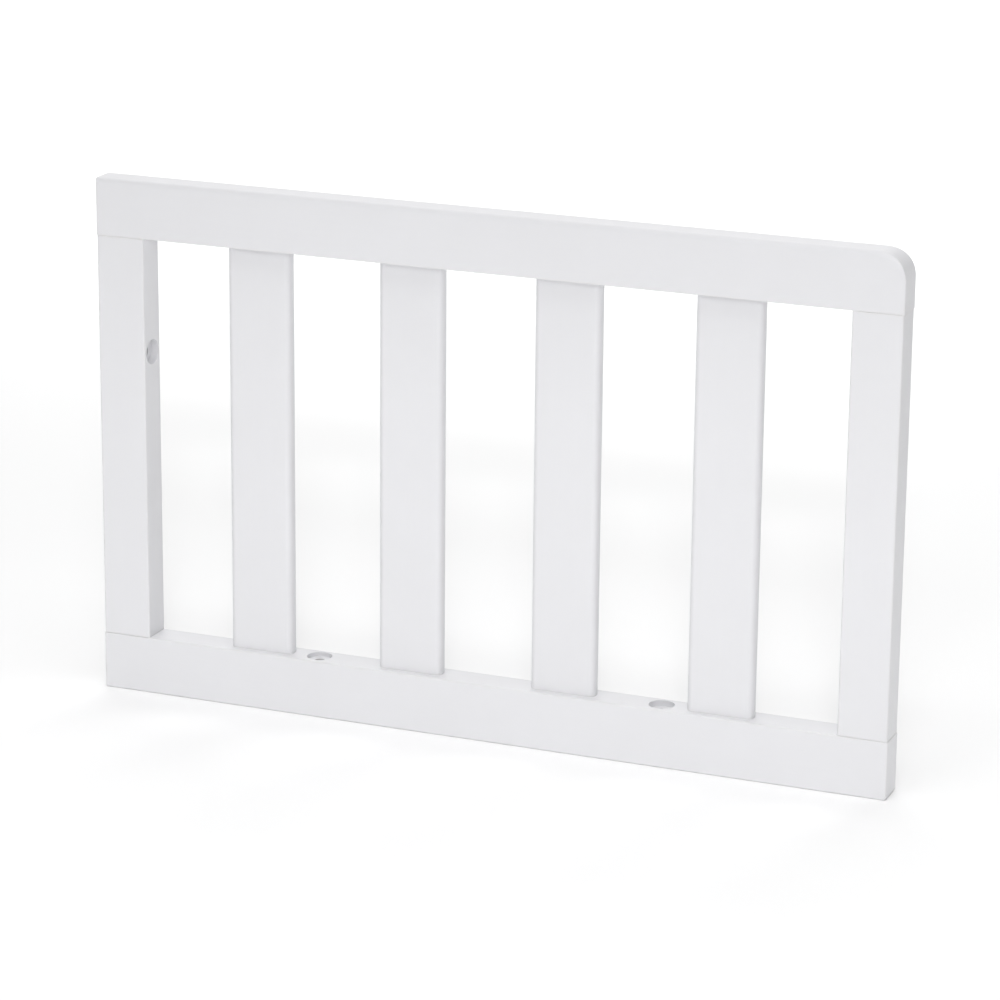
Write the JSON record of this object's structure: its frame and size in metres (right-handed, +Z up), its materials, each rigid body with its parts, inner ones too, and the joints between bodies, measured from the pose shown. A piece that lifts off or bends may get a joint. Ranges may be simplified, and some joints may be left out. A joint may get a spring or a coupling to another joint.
{
  "type": "toddler bed guard rail",
  "caption": "Slatted wooden guard rail panel with a rounded top corner, bolted to a crib's bed rail and post to make a toddler bed.",
  "frame": {"origin": "centre of the panel's underside, midway along its length and its thickness", "axes": "+X along the panel towards the free end with the rounded top corner, -Y out of the front face, +Z up"},
  "size_m": [0.62, 0.025, 0.396],
  "materials": {
    "painted_wood": "satin white paint",
    "dowel_wood": "bare beech"
  },
  "bodies": {
    "root": {"top_rail": "painted_wood", "bottom_rail": "painted_wood", "left_stile": "painted_wood", "right_stile": "painted_wood", "slat_1": "painted_wood", "slat_2": "painted_wood", "slat_3": "painted_wood", "slat_4": "painted_wood", "bottom_left_dowels": "dowel_wood", "bottom_right_dowels": "dowel_wood", "top_left_dowels": "dowel_wood", "top_right_dowels": "dowel_wood", "slat_1_bottom_dowels": "dowel_wood", "slat_1_top_dowels": "dowel_wood", "slat_2_bottom_dowels": "dowel_wood", "slat_2_top_dowels": "dowel_wood", "slat_3_bottom_dowels": "dowel_wood", "slat_3_top_dowels": "dowel_wood", "slat_4_bottom_dowels": "dowel_wood", "slat_4_top_dowels": "dowel_wood"}
  },
  "joints": []
}
